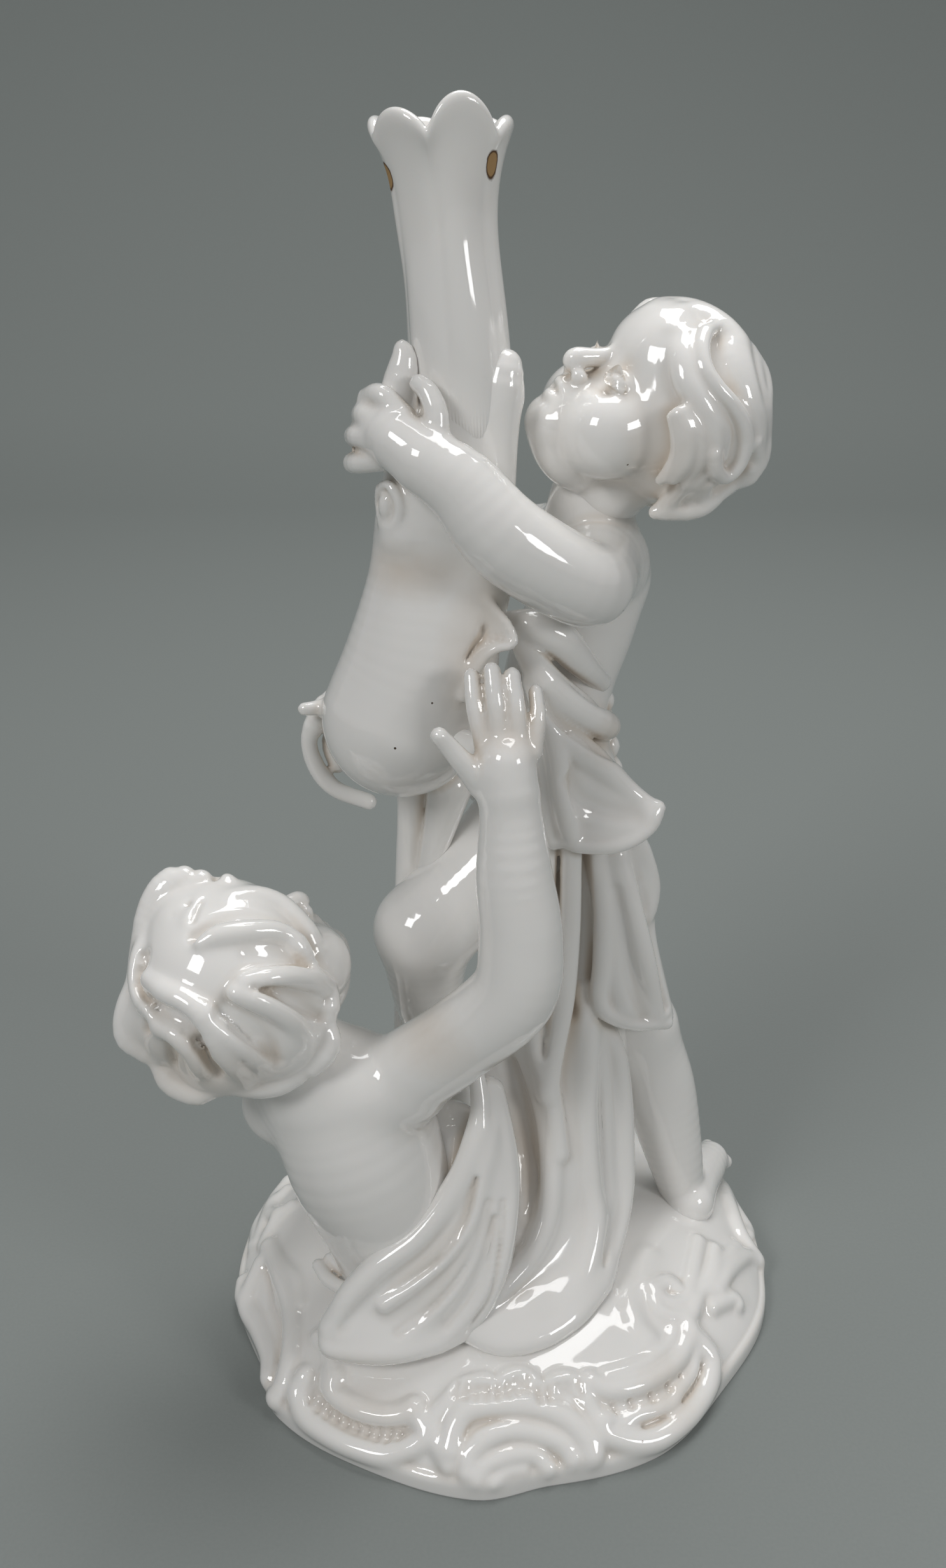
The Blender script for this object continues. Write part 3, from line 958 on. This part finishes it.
face_up = Head(Clay(grain=0.7), (43.5, 11, 301), (-0.68, -0.33, 0.7), (0.7, 0, 0.72))
face_up.face()
face_up.mass(0.14, 0.0, 0.0, 0.92)
face_up.mass(0.0, -0.05, 0.66, 0.36)
face_up.mass(0.2, 0.0, -0.6, 0.36)
face_up.comb(4, 0.1, ((-0.3, 0.92), (-0.18, 1.0), (-0.04, 1.01), (0.13, 0.93), (0.3, 0.81),
                      (0.47, 0.66), (0.6, 0.48)),
             ((-0.06, 0.56), (0.04, 0.72), (0.16, 0.78), (0.3, 0.74), (0.42, 0.66), (0.5, 0.58),
              (0.56, 0.5)))
face_up.comb(3, 0.075, ((0.0, 0.5), (-0.01, 0.26), (0.03, 0.01), (0.14, -0.17), (0.24, -0.32),
                        (0.3, -0.48), (0.33, -0.64)),
             ((0.16, 0.5), (0.13, 0.26), (0.16, 0.05), (0.26, -0.12), (0.38, -0.26), (0.47, -0.42),
              (0.48, -0.6)), soft=0.8)
face_up.lock(0.075, (0.39, 0.63), (0.28, 0.52), (0.23, 0.34), (0.26, 0.13), (0.37, -0.03),
             (0.53, -0.17), (0.66, -0.32), (0.72, -0.48), (0.68, -0.66), (0.55, -0.78), (0.42, -0.75),
             (0.38, -0.63), soft=0.8, lift=0.08)
face_up.comb(4, 0.11, ((0.55, 0.52), (0.52, 0.36), (0.57, 0.14), (0.66, -0.1), (0.75, -0.3),
                       (0.79, -0.48), (0.75, -0.66)),
             ((0.76, 0.44), (0.88, 0.28), (0.92, 0.1), (0.9, -0.08), (0.94, -0.28), (0.93, -0.5),
              (0.84, -0.68)))
face_up.comb(3, 0.07, ((-0.06, -0.32), (0.0, -0.48), (0.01, -0.64), (-0.04, -0.76), (-0.12, -0.84)),
             ((0.06, -0.26), (0.15, -0.4), (0.22, -0.54), (0.22, -0.69),
              (0.12, -0.84)), soft=0.8, lift=0.04)
face_up.lock(0.08, (0.36, -0.68), (0.26, -0.79), (0.15, -0.87))
face_up.lock(0.07, (0.83, -0.46), (0.9, -0.58), (0.82, -0.66), lift=0.12, soft=0.8)
face_up.comb(4, 0.09, ((0.5, -0.82), (0.46, -0.94), (0.36, -1.03), (0.22, -1.08)),
             ((0.12, -0.86), (0.04, -0.96), (-0.04, -1.04), (-0.12, -1.08)), soft=0.9)
face_up.lock(0.08, (0.71, -0.76), (0.6, -0.82), (0.5, -0.92))
face_up.far_locks()
face_up.clay.fire("standing_head")

face_away = Head(Clay(grain=0.7), (-80, -38, 146), (0.38, 0.68, 0.62), (-0.68, -0.33, 0.64))
face_away.face()
face_away.mass(-0.06, 0.02, 0.04, 0.97)
face_away.mass(-0.4, 0.05, 0.56, 0.5)
face_away.mass(-0.84, 0.0, -0.36, 0.38)
face_away.mass(0.5, 0.0, -0.48, 0.52)
face_away.mass(-0.1, 0.0, -0.66, 0.58)
face_away.mass(-0.38, 0.1, -0.3, 0.62)
face_away.mass(0.3, 0.1, -0.34, 0.7)
LOCK = 0.13
for points, lift in (
        (((-0.66, 1.12), (-0.74, 1.02), (-0.82, 0.9), (-0.88, 0.74), (-0.92, 0.5)), 0.0),
        (((-0.5, 1.14), (-0.62, 1.04), (-0.74, 0.87), (-0.82, 0.68)), 0.0),
        (((-0.32, 1.1), (-0.42, 1.0), (-0.51, 0.85), (-0.56, 0.68)), 0.0),
        (((-0.05, 1.06), (-0.18, 0.96), (-0.29, 0.82), (-0.34, 0.66)), 0.0),
        (((0.06, 0.9), (0.29, 0.9), (0.51, 0.82), (0.68, 0.68), (0.82, 0.5), (0.9, 0.34)), 0.02),
        (((-0.18, 0.5), (-0.01, 0.57), (0.23, 0.6), (0.47, 0.6), (0.64, 0.54), (0.76, 0.4),
          (0.85, 0.24)), 0.04),
        (((0.3, 0.12), (0.5, 0.14), (0.71, 0.14), (0.9, 0.07), (1.0, -0.09), (1.04, -0.26),
          (0.98, -0.4)), 0.06),
        (((0.2, 0.0), (0.36, -0.05), (0.54, -0.16), (0.7, -0.32), (0.77, -0.5), (0.72, -0.68),
          (0.58, -0.78)), 0.07),
        (((-0.08, -0.2), (0.08, -0.4), (0.26, -0.58), (0.38, -0.74), (0.45, -0.88)), 0.05),
        (((1.0, -0.46), (1.05, -0.62), (1.0, -0.78), (0.88, -0.92)), 0.0),
        (((0.27, -1.0), (0.5, -0.97), (0.7, -0.87), (0.86, -0.78)), 0.03),
        (((-0.05, -1.08), (0.25, -1.12), (0.5, -1.1), (0.7, -1.02)), 0.03),
        (((-0.1, -0.32), (-0.02, -0.52), (0.1, -0.74), (0.17, -0.93), (0.15, -1.08)), 0.07),
        (((-0.75, 0.1), (-0.55, 0.0), (-0.33, -0.08), (-0.15, -0.22), (-0.09, -0.38)), 0.05),
        (((-0.6, -0.38), (-0.42, -0.46), (-0.29, -0.62), (-0.24, -0.82), (-0.26, -1.0)), 0.06),
        (((-0.62, -0.36), (-0.68, -0.58), (-0.72, -0.8), (-0.66, -0.96), (-0.5, -1.06)), 0.04),
        (((-0.92, -0.4), (-0.94, -0.58), (-0.86, -0.72), (-0.72, -0.7)), 0.03),
        (((-0.84, 0.5), (-0.9, 0.28), (-0.9, 0.04), (-0.82, -0.13), (-0.7, -0.22)), 0.06),
        (((-0.92, 0.6), (-0.96, 0.3), (-1.0, 0.0), (-1.1, -0.26), (-1.14, -0.46), (-1.1, -0.62),
          (-0.95, -0.74)), 0.0),
        (((-0.74, -0.88), (-0.66, -1.06), (-0.52, -1.16), (-0.35, -1.2), (-0.2, -1.14)), 0.0)):
    face_away.lock(LOCK, *points, lift=lift - 0.02)
    face_away.part(0.035, 0.04, *[(right + 0.04, above + 0.035) for right, above in points[1:]])
for depth, width, points in (
        (0.07, 0.06, ((-0.6, 1.14), (-0.7, 1.03), (-0.79, 0.9), (-0.86, 0.76))),
        (0.07, 0.06, ((-0.42, 1.12), (-0.52, 1.01), (-0.62, 0.86), (-0.68, 0.7))),
        (0.07, 0.06, ((-0.15, 1.08), (-0.25, 0.97), (-0.37, 0.82))),
        (0.1, 0.07, ((-0.25, 0.56), (-0.05, 0.7), (0.16, 0.75), (0.38, 0.74), (0.56, 0.68),
                     (0.7, 0.58))),
        (0.07, 0.07, ((0.3, 0.36), (0.52, 0.33), (0.72, 0.29), (0.86, 0.18))),
        (0.09, 0.08, ((0.36, 0.04), (0.56, 0.0), (0.74, -0.12), (0.88, -0.28), (0.94, -0.42))),
        (0.12, 0.1, ((0.08, -0.2), (0.26, -0.36), (0.44, -0.54), (0.52, -0.72))),
        (0.08, 0.07, ((-0.18, -0.56), (-0.1, -0.8), (0.0, -1.04))),
        (0.07, 0.07, ((0.2, -0.68), (0.3, -0.88), (0.26, -1.0))),
        (0.11, 0.09, ((-0.66, -0.16), (-0.42, -0.26), (-0.22, -0.38), (-0.15, -0.52))),
        (0.09, 0.07, ((-0.5, -0.56), (-0.54, -0.74), (-0.48, -0.92))),
        (0.1, 0.08, ((-0.76, -0.4), (-0.8, -0.58), (-0.8, -0.72))),
        (0.09, 0.08, ((-0.82, 0.3), (-0.86, 0.06), (-0.8, -0.14)))):
    face_away.part(0.8 * depth, width, *points)
face_away.far_locks()
face_away.clay.fire("seated_head")

# A sweep of grey studio paper, on which the candlestick stands. It is one sheet, curved up behind
# into the backdrop, and a little darker near the front.
sweep = bmesh.new()
profile = [(-2.5, 0.0), (1.2, 0.0)]
profile += [(1.2 + 0.8 * math.sin(math.radians(turn)), 0.8 * (1 - math.cos(math.radians(turn))))
            for turn in range(10, 91, 10)]
profile += [(2.0, 4.0)]
rows = [[sweep.verts.new((x, y, z)) for y, z in profile] for x in (-4, 4)]
for near, far in zip(range(len(profile)), range(1, len(profile))):
    sweep.faces.new((rows[0][near], rows[1][near], rows[1][far], rows[0][far]))
floor_mesh = bpy.data.meshes.new("paper_sweep")
sweep.to_mesh(floor_mesh)
sweep.free()
floor_mesh.shade_smooth()
floor = bpy.data.objects.new("paper_sweep", floor_mesh)
bpy.context.collection.objects.link(floor)
paper = bpy.data.materials.new("paper")
paper.use_nodes = True
paper_place = node("TexCoord", {}, {}, "Object", paper)
grain = node("TexNoise", {"Scale": 900}, {"Vector": paper_place}, "Fac", paper)
paper_tone = node("Mix", {"A": (0.39, 0.425, 0.41, 1), "B": (0.43, 0.465, 0.45, 1)}, {"Factor": grain},
                  "Result", paper, colours=True)
behind = node("SeparateXYZ", {}, {"Vector": paper_place}, "Y", paper)
fade = node("MapRange", {"From Min": 0.2, "From Max": 1.5, "To Min": 0.6}, {"Value": behind},
            "Result", paper)
faded = node("VectorMath", {}, {0: paper_tone, "Scale": fade}, "Vector", paper, operation="SCALE")
paper_shader = paper.node_tree.nodes["Principled BSDF"]
paper.node_tree.links.new(faded, paper_shader.inputs["Base Color"])
paper_shader.inputs["Roughness"].default_value = 0.8
floor_mesh.materials.append(paper)

# Soft studio light: a large key from the front left, a fill from the right and a top light, in a
# dim white room.
for name, spot, aim, size, power in (
        ("key", (-0.8, -0.9, 1.1), (0, 0, 0.2), 0.45, 6.4),
        ("fill", (0.9, -0.7, 0.6), (0, 0, 0.2), 0.3, 2.6),
        ("top", (0.15, 0.3, 1.35), (0, 0, 0.2), 0.7, 8.0)):
    lamp = bpy.data.lights.new(name, "AREA")
    lamp.shape = "SQUARE"
    lamp.size = size
    lamp.energy = power
    holder = bpy.data.objects.new(name, lamp)
    holder.location = spot
    holder.rotation_euler = (Vector(aim) - Vector(spot)).to_track_quat("-Z", "Y").to_euler()
    bpy.context.collection.objects.link(holder)

world = bpy.data.worlds.new("studio")
world.use_nodes = True
bpy.context.scene.world = world
backdrop = world.node_tree.nodes["Background"]
backdrop.inputs["Color"].default_value = (1, 1, 1, 1)
backdrop.inputs["Strength"].default_value = 0.24
bpy.context.scene.view_settings.view_transform = "Standard"

# The camera stands nearly level with the tube's rim, close in, and looks down at the foot, as in
# the photograph.
camera = bpy.data.cameras.new("camera")
camera.sensor_width = 36
camera.lens = 32.14
camera.clip_start = 0.01
camera_object = bpy.data.objects.new("camera", camera)
camera_object.location = (-0.010, -0.388, 0.366)
camera_object.rotation_euler = (math.radians(90 - 24.2), 0, 0)
bpy.context.collection.objects.link(camera_object)
bpy.context.scene.camera = camera_object
